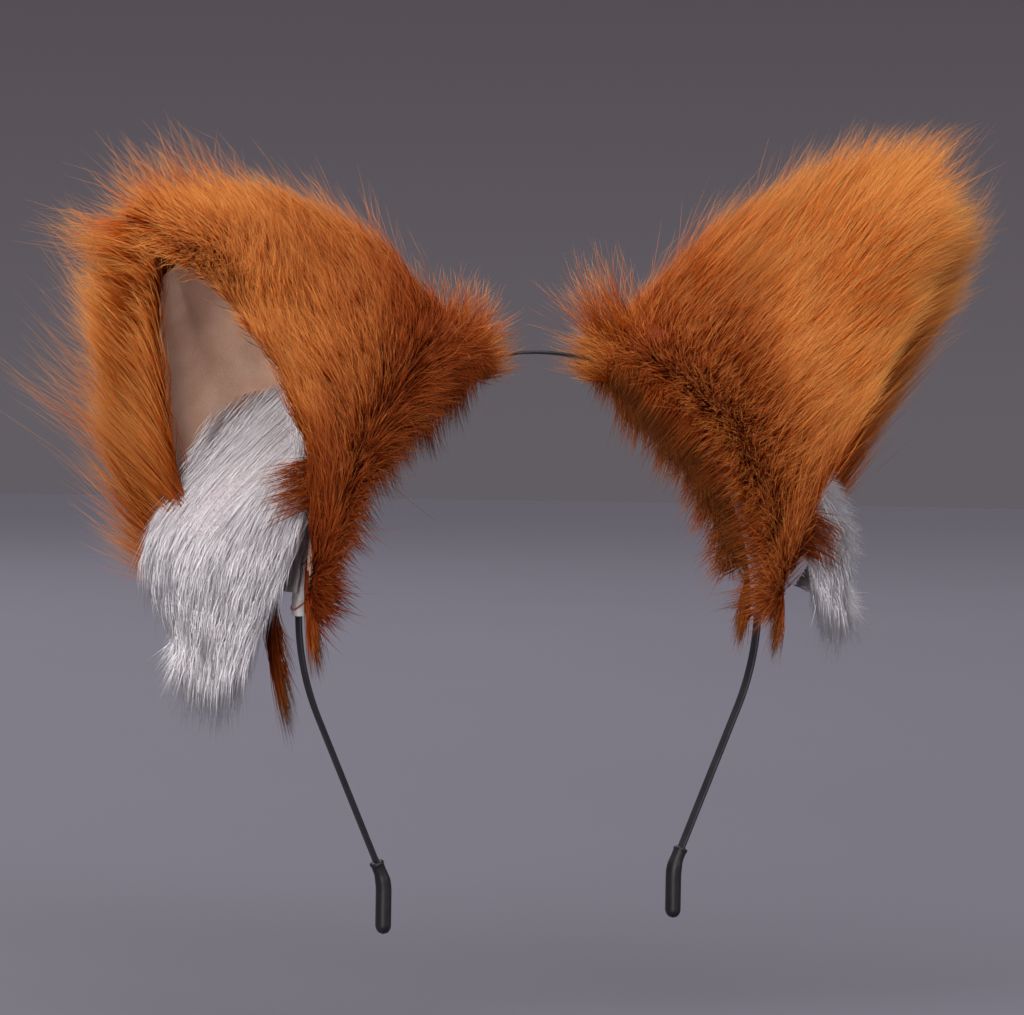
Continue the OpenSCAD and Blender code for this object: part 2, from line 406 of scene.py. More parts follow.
sleeve_turns = np.linspace(SLEEVE_FROM, SLEEVE_TO, 150)
tube_turn = np.linspace(0, 2 * np.pi, 28, endpoint=False)
fold_height = 0.11 * gathers(sleeve_turns[:, None] * BAND_R, tube_turn[None])
outer_wall = rounded_outline(SLEEVE_W, SLEEVE_T, 0.75, 28) * (1 + fold_height[..., None] / 1.6)
inner_wall = rounded_outline(SLEEVE_W - 2 * SLEEVE_WALL, SLEEVE_T - 2 * SLEEVE_WALL, 0.7, 28)
# The tube's wall: out along the outside, back along the inside
sleeve_path = np.concatenate([sleeve_turns, sleeve_turns[::-1]])
sleeve_rings = np.concatenate([outer_wall, np.tile(inner_wall, (len(sleeve_turns), 1, 1))])
sleeve_points = on_band(sleeve_path[:, None], sleeve_rings[..., 1], sleeve_rings[..., 0])


def wrapped(points):
    """Points and triangles of a grid of points that closes on itself both ways."""
    n, m = points.shape[:2]
    i, j = grid(np.arange(n), np.arange(m))
    a, b = (i + 1) % n, (j + 1) % m
    quads = np.stack([i * m + j, i * m + b, a * m + b, a * m + j], -1).reshape(-1, 4)
    return points.reshape(-1, 3), split(quads)


sleeve_shape, sleeve_faces = wrapped(sleeve_points)
for side in ("left", "right"):
    tube = place_side("fabric_sleeve", side, sleeve_shape, sleeve_faces, satin)
    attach(tube, f"sleeve_{side}")
    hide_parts(f"sleeve_{side}")


# ---------------------------------------------------------------------------------------
# Whip stitches. Eight loops of reddish-brown thread round each sleeve that bind the base
# strip of the ear to it. Each loop leans along the sleeve and is made of two twisted plies.

STITCHES = 8
STITCH_TURNS = np.radians(np.linspace(23.25, 88.25, STITCHES))
THREAD_R = 0.17

thread = Finish("sewing_thread", Roughness=0.75, Sheen_Weight=0.3)
thread.weave(thread.noise(6000.0), "#7b3a26", "#b4664a", 0.04)

loop_turn = np.linspace(0, 2 * np.pi, 44, endpoint=False)
ply_turn = np.linspace(0, 2 * np.pi, 6, endpoint=False)
lean = np.radians(1.4) * np.sin(loop_turn)
loop_outline = rounded_outline(SLEEVE_W + 0.3, SLEEVE_T + 0.3, 0.8, 44)
stitch_shapes = []
stitch_faces = []
for number, turn in enumerate(STITCH_TURNS):
    for ply in (0, np.pi):
        twist = 9 * loop_turn + ply
        lift = loop_outline[:, 1] * (1 + 0.04 * np.cos(twist))
        middle = on_band(turn + lean + np.radians(0.11) * np.sin(twist), lift, loop_outline[:, 0])
        way = unit(np.roll(middle, -1, 0) - np.roll(middle, 1, 0))
        spoke = unit(np.cross(way, on_band(turn)))
        rise = np.cross(spoke, way)
        ring = (middle[:, None] + THREAD_R * (np.cos(ply_turn)[None, :, None] * spoke[:, None]
                                              + np.sin(ply_turn)[None, :, None] * rise[:, None]))
        loop_points, loop_faces = wrapped(ring)
        loop_faces = outward(loop_points - loop_points.mean(0), loop_faces)
        stitch_faces.append(loop_faces + sum(map(len, stitch_shapes)))
        stitch_shapes.append(loop_points)
stitch_points = np.vstack(stitch_shapes)
stitch_faces = np.vstack(stitch_faces)
for side in ("left", "right"):
    loops = place_side("whip_stitches", side, stitch_points, stitch_faces, thread)
    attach(loops, f"sleeve_{side}")
    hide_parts(f"sleeve_stitches_{side}")


# ---------------------------------------------------------------------------------------
# Base strips. A strip of pale felt along the foot of each ear, on top of the sleeve, that
# closes the ear from below and takes the stitches.

BASE_TURNS = np.radians([23, 86])
BASE_LIFT = 2.55
BASE_W, BASE_T = 8.6, 0.9

base_felt = Finish("base_fabric", Roughness=0.95, Sheen_Weight=0.4)
base_felt.weave(base_felt.noise(2600.0, 5.0), "#b3a49d", "#d3c7c1", 0.25)

base_turns = np.linspace(*BASE_TURNS, 90)
base_outline = rounded_outline(BASE_W, BASE_T, 0.45, 26)
wave = 0.12 * np.sin(base_turns * 60)[:, None]
base_rings = on_band(base_turns[:, None], BASE_LIFT + base_outline[:, 1] + wave,
                     base_outline[:, 0])
base_shape, base_faces = capped(base_rings)
for side in ("left", "right"):
    strip = place_side("base_strip", side, base_shape, base_faces, base_felt)
    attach(strip, f"ear_{side}")
    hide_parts(f"base_strip_{side}")


# ---------------------------------------------------------------------------------------
# Felt cores. A stiff grey-brown felt shell inside each ear, between the fur cloth and the
# velvet, that holds the ear's pointed cupped shape. It only shows at the ear's raw edges.

# The backing cloth's net: curves from base to tip, along the ridge and then on each panel
BACKING_TIP = [102, -4, 102]
BACKING = dict(
    ridge=[on_band(np.radians(16.4), 2.4), [38, 0, 74], [70, 0, 102], BACKING_TIP],
    front=[[[46, -10, 62], [38, -29, 78], BACKING_TIP],
           [[70, -8, 34], [42, -42, 56], BACKING_TIP],
           [on_band(np.radians(90), 1.2, -7), [66, -24, 28], [68, -28, 62], BACKING_TIP]],
    rear=[[[46, 10, 62], [46, 37, 86], BACKING_TIP],
          [[70, 8, 34], [74, 58, 56], BACKING_TIP],
          [[68, 10, -4], [90, 34, 10], [102, 10, 66], BACKING_TIP]],
    shoulder=9)


def bezier(points, t):
    """The sum over i of C(n, i) t^i (1 - t)^(n - i) times point i."""
    n = len(points) - 1
    t = np.asarray(t, float)[..., None]
    return sum(comb(n, i) * t ** i * (1 - t) ** (n - i) * np.asarray(point, float)
               for i, point in enumerate(points))


def net_point(net, s, t):
    """A place on an ear's surface. At t along the ear, 0 base to 1 tip, a quartic curve runs
    in |s| from the ridge over a shoulder, half the ridge's width away, and two bulge curves
    to the free edge; s is -1 at the front panel's free edge and 1 at the back panel's."""
    s, t = np.broadcast_arrays(np.asarray(s, float), np.asarray(t, float))
    ridge = bezier(net["ridge"], t)
    towards = np.where(s < 0, -1.0, 1.0)
    step = (towards * net["shoulder"] * (1 - t))[..., None] * np.array([0, 1, 0])
    curves = [np.where((s < 0)[..., None], bezier(front, t), bezier(rear, t))
              for front, rear in zip(net["front"], net["rear"])]
    a = np.abs(s)[..., None]
    return sum(comb(4, i) * a ** i * (1 - a) ** (4 - i) * point
               for i, point in enumerate([ridge, ridge + step, *curves]))


def inner_point(k, ridge_in, s, t):
    """A lining inside the backing: own (1 - k/2) + opposite k/2, where own and opposite are
    the backing's points at +-(ridge_in + (1 - ridge_in) |s|)."""
    s, t = np.broadcast_arrays(np.asarray(s, float), np.asarray(t, float))
    towards = np.where(s < 0, -1.0, 1.0)
    a = ridge_in + (1 - ridge_in) * np.abs(s)
    own = net_point(BACKING, towards * a, t)
    opposite = net_point(BACKING, -towards * a, t)
    return own * (1 - k / 2) + opposite * k / 2


def slab(over, under):
    """Points and triangles of the solid between two grids of points, with its four rims."""
    n, m = over.shape[:2]
    i, j = grid(np.arange(n - 1), np.arange(m - 1))
    top = np.stack([i * m + j, i * m + j + 1, (i + 1) * m + j + 1, (i + 1) * m + j], -1)
    top = top.reshape(-1, 4)
    i, j, deep = np.arange(n - 1), np.arange(m - 1), n * m
    rims = [np.column_stack([i * m, (i + 1) * m, deep + (i + 1) * m, deep + i * m]),
            np.column_stack([deep + i * m + m - 1, deep + (i + 1) * m + m - 1,
                             (i + 1) * m + m - 1, i * m + m - 1]),
            np.column_stack([deep + j, deep + j + 1, j + 1, j]),
            np.column_stack([(n - 1) * m + j, (n - 1) * m + j + 1,
                             deep + (n - 1) * m + j + 1, deep + (n - 1) * m + j])]
    quads = np.vstack([top, top[:, ::-1] + deep, *rims])
    points = np.vstack([over.reshape(-1, 3), under.reshape(-1, 3)])
    return points, split(quads)


core_felt = Finish("felt", Roughness=0.95, Sheen_Weight=0.3)
core_felt.weave(core_felt.noise(2100.0, 5.0), "#6a5a4e", "#96867a", 0.3)

s, t = grid(np.linspace(0.02, 0.78, 70), np.linspace(0.05, 0.84, 60))
core_shape, core_faces = slab(inner_point(0.10, 0.08, s, t), inner_point(0.17, 0.08, s, t))


def smooth(low, high, x):
    """0 below low, 1 above high, and 3u^2 - 2u^3 between, with u the share of the way."""
    share = np.clip((x - low) / (high - low), 0, 1)
    return share * share * (3 - 2 * share)


def settle(points, side):
    """The left ear's top lies lower than the right's: z - 12 mm times the smooth shares of
    the way from 40 to 120 mm out and from 20 to 95 mm up."""
    if side == "right":
        return points
    low = smooth(40, 120, np.abs(points[..., 0])) * smooth(20, 95, points[..., 2])
    return points - (12.0 * low)[..., None] * np.array([0, 0, 1])


def place_in_ear(name, side, points, faces, finish):
    """As place_side, for what lies in an ear and settles with it."""
    points = settle(side_points(points, side), side)
    return place_mesh(f"{name}_{side}", points, outward(points, faces), finish)


for side in ("left", "right"):
    core = place_in_ear("felt_core", side, core_shape, core_faces, core_felt)
    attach(core, f"ear_{side}")
    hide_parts(f"felt_core_{side}")


# ---------------------------------------------------------------------------------------
# Velvet liners. Cream short-pile velvet inside each ear, folded to the ear's cup and sewn
# to the fur at both free edges. It has a soft crease down from the tip and ripples.

velvet = Finish("velvet", Roughness=0.9, Sheen_Weight=0.3, Sheen_Roughness=0.4,
                Sheen_Tint=tint("#f2ded0"))
pile = velvet.noise(3400.0, 4.0)
brushed = velvet.noise(95.0, 4.0)
velvet.feed("Base Color", velvet.ramp(
    brushed * 0.8 + pile * 0.2, (0.3, "#b48a72"), (0.5, "#c99f87"), (0.7, "#d6b49f")))
velvet.bump(pile * 0.5 + brushed * 0.8, 0.3)

s, t = grid(np.linspace(-1, 1, 120), np.linspace(0.03, 0.9, 90))
rim_in = 1 - smooth(0.78, 1.0, np.abs(s))[..., None]
liner_over = inner_point(0.03 + 0.17 * rim_in, 0.13, s, t)
liner_under = inner_point(0.06 + 0.23 * rim_in, 0.17, s, t)
inwards = unit(liner_under - liner_over)
crease = (1.1 * np.exp(-((s - 0.45 + 0.3 * t) / 0.06) ** 2) * np.sin(np.pi * t)
          + 0.5 * np.sin(9 * s + 6 * t) * np.sin(np.pi * t)
          + 0.3 * np.sin(23 * t + 3 * s))
liner_shape, liner_faces = slab(liner_over, liner_under + inwards * crease[..., None])
for side in ("left", "right"):
    liner = place_in_ear("velvet_liner", side, liner_shape, liner_faces, velvet)
    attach(liner, f"ear_{side}")
    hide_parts(f"velvet_liner_{side}")


# ---------------------------------------------------------------------------------------
# Fur panels. Two panels of long-pile orange fake fur meet along the ridge of each ear: a
# knitted backing with a thick dark undercoat, then shorter underfur and longer guard hairs
# that are brushed towards the tip and the free edges.

# The net of the surface in which the hair ends, like the backing's
HAIR_TIP = [120, -6, 115]
HAIR = dict(
    ridge=[on_band(np.radians(10.5), 3), [34, 0, 88], [70, 0, 114], HAIR_TIP],
    front=[[on_band(np.radians(34), 0, -18), [23, -47, 85], HAIR_TIP],
           [on_band(np.radians(62), -1.3, -18), [33, -61, 54], HAIR_TIP],
           [[64, -14, -14], [70, -34, 26], [74, -38, 64], HAIR_TIP]],
    rear=[[on_band(np.radians(34), 0, 18), [39, 62, 105], HAIR_TIP],
          [on_band(np.radians(64), -1.3, 18), [88, 85, 70], HAIR_TIP],
          [[80, 26, -18], [118, 46, 20], [134, 22, 84], HAIR_TIP]],
    shoulder=14)
UNDERCOAT = 0.5          # share of the way from the backing to the ends of the hair
LAY = 0.33               # how far along the ear a hair reaches, as a share of what is left
FAN = 0.16               # how far it leans towards the free edge, as a share of s
TIP_SPREAD = {"left": 9.0, "right": 12.0}    # how far hair stands apart round the tip
TIP_SHIFT = {"left": np.array([-2.0, 0, -5.5]), "right": np.array([2.0, 0, 2.0])}
SHADES = 24              # columns of the fur's map, one for each shade of hair
CELLS = 40               # cells each way in which the hairs of a panel are strewn
UNDERFUR_HAIRS, GUARD_HAIRS = 10000, 15500
PANELS = {"front": (-1.0, 0.0), "back": (0.0, 1.0)}
# The right ear's hair is combed out along the back panel's free edge, and the left's in
COMBED_OUT = {"left": np.array([-15.0, -2, 0]), "right": np.array([8.0, -3, 2])}
# Along the front panel's free edge, at the foot, at 0.25 and from 0.6 of the ear's height
COMBED_IN = {"left": [0.0, -6.0, -6.5], "right": [-9.0, -12.0, 7.0]}
# a and b of the ridge's raise
RIDGE_UP = {"left": (-4.5, -3.5), "right": (2.5, -3.0)}
# At the back panel's outer foot, up to this share of the ear's height
FOOT_SHIFT = {"left": np.array([2.0, 0, 19]), "right": np.array([-9.0, 4, 17])}
FOOT_TO = {"left": 0.36, "right": 0.75}
# How far up the front (-1) and the back (1) free edge the edge hair starts
EDGE_FROM = {-1: {"left": 0.02, "right": 0.02}, 1: {"left": 0.04, "right": 0.33}}
# Where hair starts to be held back, and where it ends at the latest, on each axis
SOFT_BOX = np.array([[-122, -33, -200], [122, 38, 116]])
HARD_BOX = np.array([[-142, -43.4, -400], [142, 48.5, 130.5]])


def scatter(rng, count, s_range, t_range):
    """Places (s, t) spread evenly over the area of the hair's surface: a cell of a grid is
    drawn with a chance in proportion to its area, then a place within it."""
    s = np.linspace(*s_range, CELLS + 1)
    t = np.linspace(*t_range, CELLS + 1)
    half_way = sum(net_point(net, s[:, None], t[None]) for net in (HAIR, BACKING)) / 2
    area = np.linalg.norm(np.cross(half_way[1:, :-1] - half_way[:-1, :-1],
                                   half_way[:-1, 1:] - half_way[:-1, :-1]), axis=-1).ravel()
    cell = np.searchsorted(np.cumsum(area) / area.sum(), rng.random(count))
    cell = np.minimum(cell, area.size - 1)
    return (s[cell // CELLS] + rng.random(count) * (s[1] - s[0]),
            t[cell % CELLS] + rng.random(count) * (t[1] - t[0]))


def hair_end(s, t, side):
    """Where a hair rooted at (s, t) ends: the hair's surface at t + lay (1 - t) and
    s + fan s (1 - t), combed along both free edges, raised along the ridge by
    a sin(pi along) + b sin(2 pi along) and at the back panel's outer foot, and pushed out
    from the ear's middle line near the tip so that the tip is a brush, not a point."""
    clear = smooth(0.0, 0.22, t)
    along = t + LAY * clear * (1 - t)
    across = np.clip(s * (1 + FAN * clear * (1 - t)), -1.0, 1.04)
    end = net_point(HAIR, across, along)
    low = np.minimum(t, 0.88)
    middle = (net_point(BACKING, -1, low) + net_point(BACKING, 1, low)
              + net_point(BACKING, 0, low)) / 3
    out = unit(net_point(BACKING, s, low) - middle)
    near_tip = smooth(0.62, 1.0, along)[..., None]
    belly = np.sin(np.pi * np.clip(t, 0, 1)) ** 0.7
    comb_out = (smooth(0.35, 1.0, s) * belly)[..., None]
    comb_in = np.interp(t, [0.0, 0.25, 0.6], COMBED_IN[side]) * smooth(0.35, 1.0, -s)
    foot = (smooth(0.45, 1.0, s) * (1 - smooth(0.0, FOOT_TO[side], t)))[..., None]
    turn = np.pi * np.clip(along, 0, 1)
    up, tilted = RIDGE_UP[side]
    ridge = np.exp(-(s / 0.35) ** 2) * (up * np.sin(turn) + tilted * np.sin(2 * turn))
    return (end + near_tip * (out * TIP_SPREAD[side] + TIP_SHIFT[side])
            + comb_out * COMBED_OUT[side] + foot * FOOT_SHIFT[side]
            + (comb_in * (1 - smooth(0.85, 1.0, t)))[..., None] * np.array([1, 0.15, 0])
            + ridge[..., None] * np.array([0, 0, 1]))


def gather(rng, side, s, t, ends, size, pull, ruffle):
    """Pulls the ends of the hairs of one lock together: ends + pull (lock's end - ends).
    Locks are cells of a grid, about this many millimetres wide, with their middles moved
    about, and their ends ruffled, at random."""
    rows, columns = int(95 / size), int(150 / size)
    moved = rng.random((2, columns + 3, rows + 3)) - 0.5
    ruffled = rng.normal(0, ruffle, (columns + 3, rows + 3, 3))
    warp = 0.6 * np.sin(7 * t + 5 * s) + 0.4 * np.sin(17 * s - 9 * t)
    column = np.clip(((s + 1) / 2 * columns + warp).astype(int) + 1, 0, columns + 2)
    row = np.clip((t * rows + warp * 0.7).astype(int) + 1, 0, rows + 2)
    lock_s = (column - 0.5 - warp + moved[0, column, row]) / columns * 2 - 1
    lock_t = (row - 0.5 - warp * 0.7 + moved[1, column, row]) / rows
    lock_end = hair_end(np.clip(lock_s, -1.05, 1.05), np.clip(lock_t, 0, 1), side)
    lock_end = lock_end + ruffled[column, row]
    return ends + (lock_end - ends) * (pull * rng.random(len(s)) ** 0.6)[:, None]


def needles(points, radii, shade, phase):
    """Closed three-sided tapered needles. points holds, for each hair, the middles of its
    rings and last its point; a ring is middle + radius (b cos a + (way x b) sin a), where b
    is square to the hair's plane."""
    n, k = points.shape[0], points.shape[1] - 1
    way = unit(np.diff(points, axis=1))
    side = unit(np.cross(points[:, -1] - points[:, 0], points[:, 1] - points[:, 0])
                + 1e-6 * np.array([0.3, 0.5, 0.8]))
    angles = phase[:, None] + np.arange(3) * 2 * np.pi / 3
    rise = unit(np.cross(way, side[:, None]))
    ring = (points[:, :k, None] + radii[:, :, None, None] * (
        np.cos(angles)[:, None, :, None] * side[:, None, None]
        + np.sin(angles)[:, None, :, None] * rise[:, :, None]))
    made = np.concatenate([ring.reshape(n, 3 * k, 3), points[:, -1:]], axis=1)
    one = [[2, 1, 0]]
    for row in range(k - 1):
        for j in range(3):
            a, b = 3 * row + j, 3 * row + (j + 1) % 3
            one += [[a, b, b + 3], [a, b + 3, a + 3]]
    one += [[3 * (k - 1) + j, 3 * (k - 1) + (j + 1) % 3, 3 * k] for j in range(3)]
    faces = np.array(one)[None] + (np.arange(n) * (3 * k + 1))[:, None, None]
    reach = np.concatenate([np.linspace(0, 1, k + 1)[:k].repeat(3), [1.0]])
    column = np.minimum((np.clip(shade, 0, 0.999) * SHADES).astype(int), SHADES - 1)
    across = np.concatenate([np.tile([0.1, 0.5, 0.9], k), [0.5]])
    uv = np.stack(np.broadcast_arrays((column[:, None] + across) / SHADES, reach[None]), -1)
    return made.reshape(-1, 3), faces.reshape(-1, 3), uv.reshape(-1, 2)


def held_in(points):
    """Hair ends past the soft box: soft + (hard - soft) tanh((v - soft) / (hard - soft))."""
    for soft, hard, past in zip(SOFT_BOX, HARD_BOX, (np.minimum, np.maximum)):
        over = past(points - soft, 0)
        points = points - over + (hard - soft) * np.tanh(over / (hard - soft))
    return points


def hairs(name, side, finish, strands, radius, shade, rng, rings=2):
    """Hairs on the curves (1 - u)^2 root + 2u (1 - u) rise + u^2 end, thinner towards the
    end."""
    roots, rises, ends = (held_in(settle(side_points(p, side), side)) for p in strands)
    u = np.array({2: [0, 0.5, 1], 3: [0, 0.36, 0.7, 1]}[rings])[:, None, None]
    curve = (1 - u) ** 2 * roots + 2 * u * (1 - u) * rises + u ** 2 * ends
    taper = {2: [1.0, 0.85], 3: [1.0, 0.92, 0.66]}[rings]
    made = needles(curve.transpose(1, 0, 2), radius[:, None] * np.array(taper), shade,
                   rng.random(len(shade)) * 2 * np.pi)
    return place_mesh(name, made[0], made[1], finish, made[2])


def fur_finish(name, dark, light, **steady):
    """Hair that reads its shade across its map and its place from root to end along it."""
    finish = Finish(name, **steady)
    cell = finish.node("ShaderNodeUVMap", {"uv_map": "OFBake"})
    shade = finish.node("ShaderNodeSeparateXYZ", None, {0: cell}, output=0)
    along = finish.node("ShaderNodeSeparateXYZ", None, {0: cell}, output=1)
    finish.feed("Base Color", finish.mix(shade, finish.ramp(along, *dark),
                                         finish.ramp(along, *light)))
    return finish


orange_fur = fur_finish(
    "orange_fur",
    [(0.0, "#451203"), (0.5, "#742504"), (1.0, "#96400b")],
    [(0.0, "#903205"), (0.5, "#cf5e0c"), (1.0, "#eaa95c")],
    Roughness=0.6, Specular_IOR_Level=0.12)

undercoat = Finish("orange_undercoat", Roughness=0.95)
coat_fibres = undercoat.noise(1500.0, 4.0)
coat_patches = undercoat.noise(70.0, 3.0)
undercoat.feed("Base Color", undercoat.ramp(
    coat_fibres * 0.6 + coat_patches * 0.4, (0.3, "#5c1c06"), (0.5, "#853209"),
    (0.75, "#a85212")))
undercoat.bump(coat_fibres, 1.2)


def fur_shade(rng, s, t, side):
    """Dark at the base and pale at the tip, the ridge and the back panel's free edge, with
    patches and chance. The dark base is partly the fur's own deep roots and partly
    painted shade, and the pale back free edge is painted light, less of it on the right
    ear, whose back edge is in shade. The front panel has painted shade on the left ear
    and painted light, growing up the ear, on the right."""
    # Painted light: hair near the back panel's free edge counts as nearer the tip and is paler,
    # less so on the right ear, whose back edge is in shade.
    reach = t + {"left": 0.45, "right": 0.2}[side] * smooth(0.4, 1.0, s)
    # The dark base is partly the fur's own deep roots and partly painted shade.
    place = 0.17 + 0.40 * smooth(0.03, 0.5, reach) + 0.28 * smooth(0.5, 1.0, reach)
    place += 0.10 * np.exp(-(s / 0.25) ** 2)
    patches = 0.09 * np.sin(9 * s + 4 * t + 1) + 0.07 * np.sin(21 * t - 13 * s)
    # Painted shade on the left ear's front panel, which is in shade, and painted light up the
    # right ear's front panel, which is lit from the top.
    front = smooth(-0.3, 0.2, -s)
    painted_front_shade_and_light = {"left": 0.24 * front * (1 - 0.4 * t),
              "right": -front * (0.08 + 0.30 * smooth(0.15, 0.55, t))}
    return place + patches + rng.normal(0, 0.13, len(s)) - painted_front_shade_and_light[side]


def grow(rng, side, s, t, short, long, stray):
    """Roots, rises and ends of hairs at these places: each runs this share, short to long,
    of its way to the hair's surface, rises from the cloth first, and sags a little."""
    roots = net_point(BACKING, s, t)
    ends = hair_end(s, t, side)
    ends = gather(rng, side, s, t, ends, 11.0, 0.55, 2.6)
    ends = gather(rng, side, s, t, ends, 3.4, 0.6, 1.3)
    sway = np.column_stack([np.sin(0.09 * roots[:, 2] + 0.11 * roots[:, 1]),
                            np.sin(0.10 * roots[:, 0] + 0.07 * roots[:, 2] + 2),
                            np.sin(0.12 * roots[:, 1] + 0.08 * roots[:, 0] + 4)])
    ends = ends + 3.2 * sway + rng.normal(0, stray, ends.shape)
    reach = (short + (long - short) * rng.random(len(s)) ** 0.6)[:, None]
    ends = roots + (ends - roots) * reach
    span = np.linalg.norm(ends - roots, axis=1, keepdims=True)
    ends = ends - np.array([0, 0, 1]) * 0.05 * span
    outwards = unit(net_point(HAIR, s, t) - roots)
    return roots, roots + (ends - roots) * 0.45 + outwards * span * 0.2, ends


SEEDS = {"left": 4100, "right": 5200}
for side in ("left", "right"):
    for number, (panel, edge) in enumerate(PANELS.items()):
        rng = np.random.default_rng(SEEDS[side] + number)
        s, t = grid(np.linspace(*edge, 44), np.linspace(0, 0.97, 52))
        cloth = net_point(BACKING, s, t)
        full = net_point(HAIR, s, t)
        rough = (0.04 * np.sin(40 * s + 31 * t) + 0.04 * np.sin(67 * t - 23 * s)
                 + 0.03 * rng.standard_normal(s.shape))
        thick = (UNDERCOAT + rough) * (1 - 0.93 * smooth(0.8, 1.0, np.abs(s)))
        thick *= 0.2 + 0.8 * smooth(0.0, 0.1, t)
        coat_shape, coat_faces = slab(cloth + (full - cloth) * thick[..., None], cloth)
        coat = place_in_ear(f"{panel}_undercoat", side, coat_shape, coat_faces, undercoat)
        s, t = scatter(rng, UNDERFUR_HAIRS, edge, (0.0, 0.99))
        under = hairs(f"{panel}_underfur_{side}", side, orange_fur,
                      grow(rng, side, s, t, 0.62, 0.9, 1.4),
                      0.15 + 0.04 * rng.random(len(s)), fur_shade(rng, s, t, side) - 0.05, rng)
        s, t = scatter(rng, GUARD_HAIRS, edge, (0.0, 1.0))
        t = np.where(rng.random(len(s)) < 0.12, 0.13 * rng.random(len(s)), t)
        wild = rng.random(len(s)) < 0.11
        guard_roots, guard_rises, guard_ends = grow(rng, side, s, t, 0.78, 1.14, 1.9)
        guard_ends = guard_ends + wild[:, None] * rng.normal(0, 4.2, guard_ends.shape)
        guard = hairs(f"{panel}_guard_hair_{side}", side, orange_fur,
                      (guard_roots, guard_rises, guard_ends),
                      (0.09 + 0.03 * rng.random(len(s))) * (1 - 0.3 * wild),
                      fur_shade(rng, s, t, side) + 0.22 * wild, rng)
        for piece in (coat, under, guard):
            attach(piece, f"ear_{side}")
            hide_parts(f"fur_{panel}_{side}")


# ---------------------------------------------------------------------------------------
# Edge hair. The hair at the panels' cut edges: it curls out of the mouth of the ear along
# both free edges, hangs over the sleeve in front of and behind the band, and stands up in
# a wispy lock at the ear's inner corner.

EDGE_HAIRS, HEM_HAIRS, HANGING_HAIRS, STRAY_HAIRS = 3000, 3800, 260, 2400
CORNER_HAIRS, CROSSING_HAIRS = 1500, 320


def edge_strands(rng, side, s, count):
    """Hair on the free edge at s = -1 or 1: the ends of the panel's hair, moved towards the
    opposite edge, up to 3 mm in front and 16 mm behind, so that it covers the seam."""
    t = rng.uniform(EDGE_FROM[s][side], 0.96, count)
    roots = net_point(BACKING, s, t) + rng.normal(0, 0.4, (count, 3))
    across = unit(net_point(BACKING, -s, t) - net_point(BACKING, s, t))
    side_s = np.full(count, s) * (1 - 0.12 * rng.random(count))
    ends = gather(rng, side, side_s, t, hair_end(side_s, t, side), 8.0, 0.6, 3.0)
    ends = ends + across * ((3.0 if s < 0 else 16.0) * rng.random((count, 1)) ** 1.3)
    ends = ends + rng.normal(0, 1.8, ends.shape)
    ends = roots + (ends - roots) * (0.35 + 0.75 * rng.random((count, 1)))
    span = np.linalg.norm(ends - roots, axis=1, keepdims=True)
    ends = ends - np.array([0, 0, 1]) * 0.08 * span
    return (roots, roots + (ends - roots) * 0.4 + across * span * 0.14, ends), side_s, t


def hem_strands(rng, low, high, count):
    """Hair along the foot of a panel: out and down past the side of the sleeve, in pointed
    locks, longer towards the outer foot. Each ends up to 14.5 mm nearer to the middle of
    the band's arc than the strip, and then up to 3.5 mm lower."""
    s = low + (high - low) * rng.random(count)
    t = 0.035 * rng.random(count)
    facing = np.where(s < 0, -1.0, 1.0)
    roots = net_point(BACKING, s, t)
    locks = 22 + 6 * np.sin(11 * s)
    lock = np.clip((np.floor(np.abs(s) * locks) + 0.5) / locks, 0, 1) * facing
    near = (0.55 * rng.random(count) ** 0.5)[:, None]
    turned = net_point(BACKING, lock, 0.0) * near + roots * (1 - near)
    turn = np.arctan2(turned[:, 0], turned[:, 2])
    size = 0.25 + 0.75 * smooth(0.03, 0.45, np.abs(s))
    inside = -(1 + 12 * rng.random(count) ** 1.4 + 1.5 * np.sin(lock * 37)) * size
    ends = on_band(turn, inside, facing * (1.5 + 7.0 * rng.random(count)))
    ends = ends - np.array([0, 0, 3.5]) * size[:, None] + rng.normal(0, 1.5, ends.shape)
    out = facing[:, None] * np.array([0, 1, 0]) * (9.0 * size[:, None] + 1)
    return roots, (roots + ends) / 2 + out, ends


# The drop of the back and of the front hanging lock, and how far inwards each ends, in mm
HANGING = {"left": ((36, 6.5), (22, 3.0)), "right": ((14, 2.5), (19, 2.5))}


def hanging_strands(rng, s, drop, inwards, count):
    """A thin pointed lock that hangs from a panel's outer foot, this many millimetres, and
    ends this far inwards."""
    roots = net_point(BACKING, s * (1 - 0.1 * rng.random(count)), 0.03 * rng.random(count))
    end = net_point(BACKING, s * 0.95, 0.0) + np.array([-inwards, 2.0 * s, -drop])
    spread = rng.normal(0, 1.0, (count, 3)) * np.array([1, 1, 2.2])
    ends = end + spread + np.array([0, 0, 1]) * (drop * 0.6 * rng.random((count, 1)) ** 1.6)
    facing = np.sign(s) * np.array([0, 1, 0])
    return (roots, roots * 0.6 + ends * 0.4 + facing * 2.5 + np.array([1.5, 0, 0]), ends)


def stray_strands(rng, side, count):
    """Single long hairs that stand out round the ear: on the ridge, at the tip and along
    the back panel's free edge, 1.1 to 1.7 times as long as the rest and bent at random."""
    s = np.where(rng.random(count) < 0.5, rng.normal(0, 0.2, count),
                 1 - 0.3 * rng.random(count))
    t = 0.04 + 0.95 * rng.random(count)
    roots = net_point(BACKING, s, t)
    ends = gather(rng, side, s, t, hair_end(s, t, side), 9.0, 0.7, 4.5)
    longer = 0.3 + 0.32 * smooth(0.4, 0.8, s)[:, None]
    ends = roots + (ends - roots) * (1.1 + longer * rng.random((count, 1)) ** 1.6)
    ends = ends + rng.normal(0, 3.2, ends.shape)
    return (roots, (roots + ends) / 2 + rng.normal(0, 3.0, ends.shape), ends)


